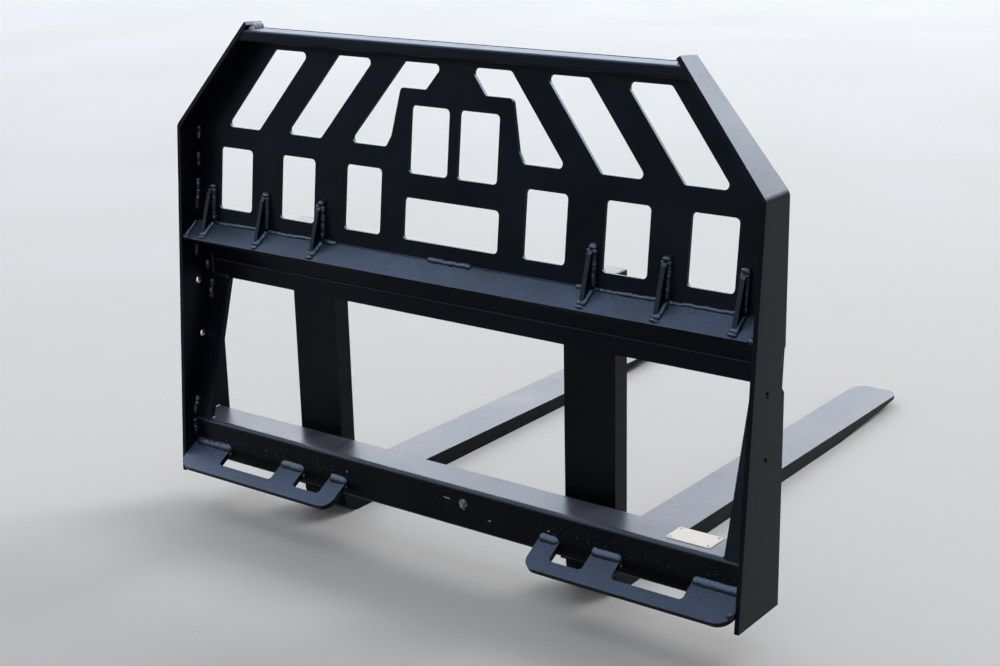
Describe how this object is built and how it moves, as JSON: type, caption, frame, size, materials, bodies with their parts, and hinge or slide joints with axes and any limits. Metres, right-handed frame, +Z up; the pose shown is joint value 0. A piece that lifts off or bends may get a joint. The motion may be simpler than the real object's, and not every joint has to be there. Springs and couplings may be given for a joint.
{
  "type": "pallet fork attachment",
  "caption": "Loader pallet fork attachment: welded carriage frame with a windowed guard plate, a coupler lip behind and tapered forks that slide along the carriage bars.",
  "frame": {"origin": "centre of the bounding box at ground height, under the forks; x = 0 is the frame's middle plane", "axes": "+X to the right seen from behind, +Y forward along the forks, +Z up"},
  "size_m": [1.2, 1.2818, 0.9147],
  "materials": {
    "frame_black": "satin",
    "fork_black": "satin",
    "latch_steel": "satin",
    "data_plate_cream": "gloss"
  },
  "bodies": {
    "frame": {"wing_left": "frame_black", "wing_right": "frame_black", "guard_plate": "frame_black", "top_tube": "frame_black", "coupler_lip": "frame_black", "pocket_plate": "frame_black", "upper_carriage_bar": "frame_black", "lower_carriage_bar": "frame_black", "lower_beam": "frame_black", "guide_bar_left": "frame_black", "guide_bar_right": "frame_black", "rib_left_inner": "frame_black", "rib_left_middle": "frame_black", "rib_left_outer": "frame_black", "rib_right_inner": "frame_black", "rib_right_middle": "frame_black", "rib_right_outer": "frame_black", "lock_plate_left": "frame_black", "lock_plate_right": "frame_black", "beam_plug": "frame_black", "data_plate": "data_plate_cream"},
    "fork_left_body": {"fork_left": "fork_black", "upper_hook_left": "fork_black", "lower_hook_left": "fork_black"},
    "fork_right_body": {"fork_right": "fork_black", "upper_hook_right": "fork_black", "lower_hook_right": "fork_black"},
    "latch_left_body": {"latch_pin_left": "latch_steel", "latch_handle_left": "latch_steel"},
    "latch_right_body": {"latch_pin_right": "latch_steel", "latch_handle_right": "latch_steel"}
  },
  "joints": [
    {"name": "left_fork_slide", "type": "slide", "parent": "frame", "child": "fork_left_body", "axis": [1, 0, 0], "range_m": [-0.1545, 0.2575]},
    {"name": "right_fork_slide", "type": "slide", "parent": "frame", "child": "fork_right_body", "axis": [1, 0, 0], "range_m": [-0.1545, 0.2575]},
    {"name": "left_latch_lift", "type": "slide", "parent": "fork_left_body", "child": "latch_left_body", "axis": [0, 0, 1], "range_m": [-0.008, 0]},
    {"name": "right_latch_lift", "type": "slide", "parent": "fork_right_body", "child": "latch_right_body", "axis": [0, 0, 1], "range_m": [-0.008, 0]}
  ]
}
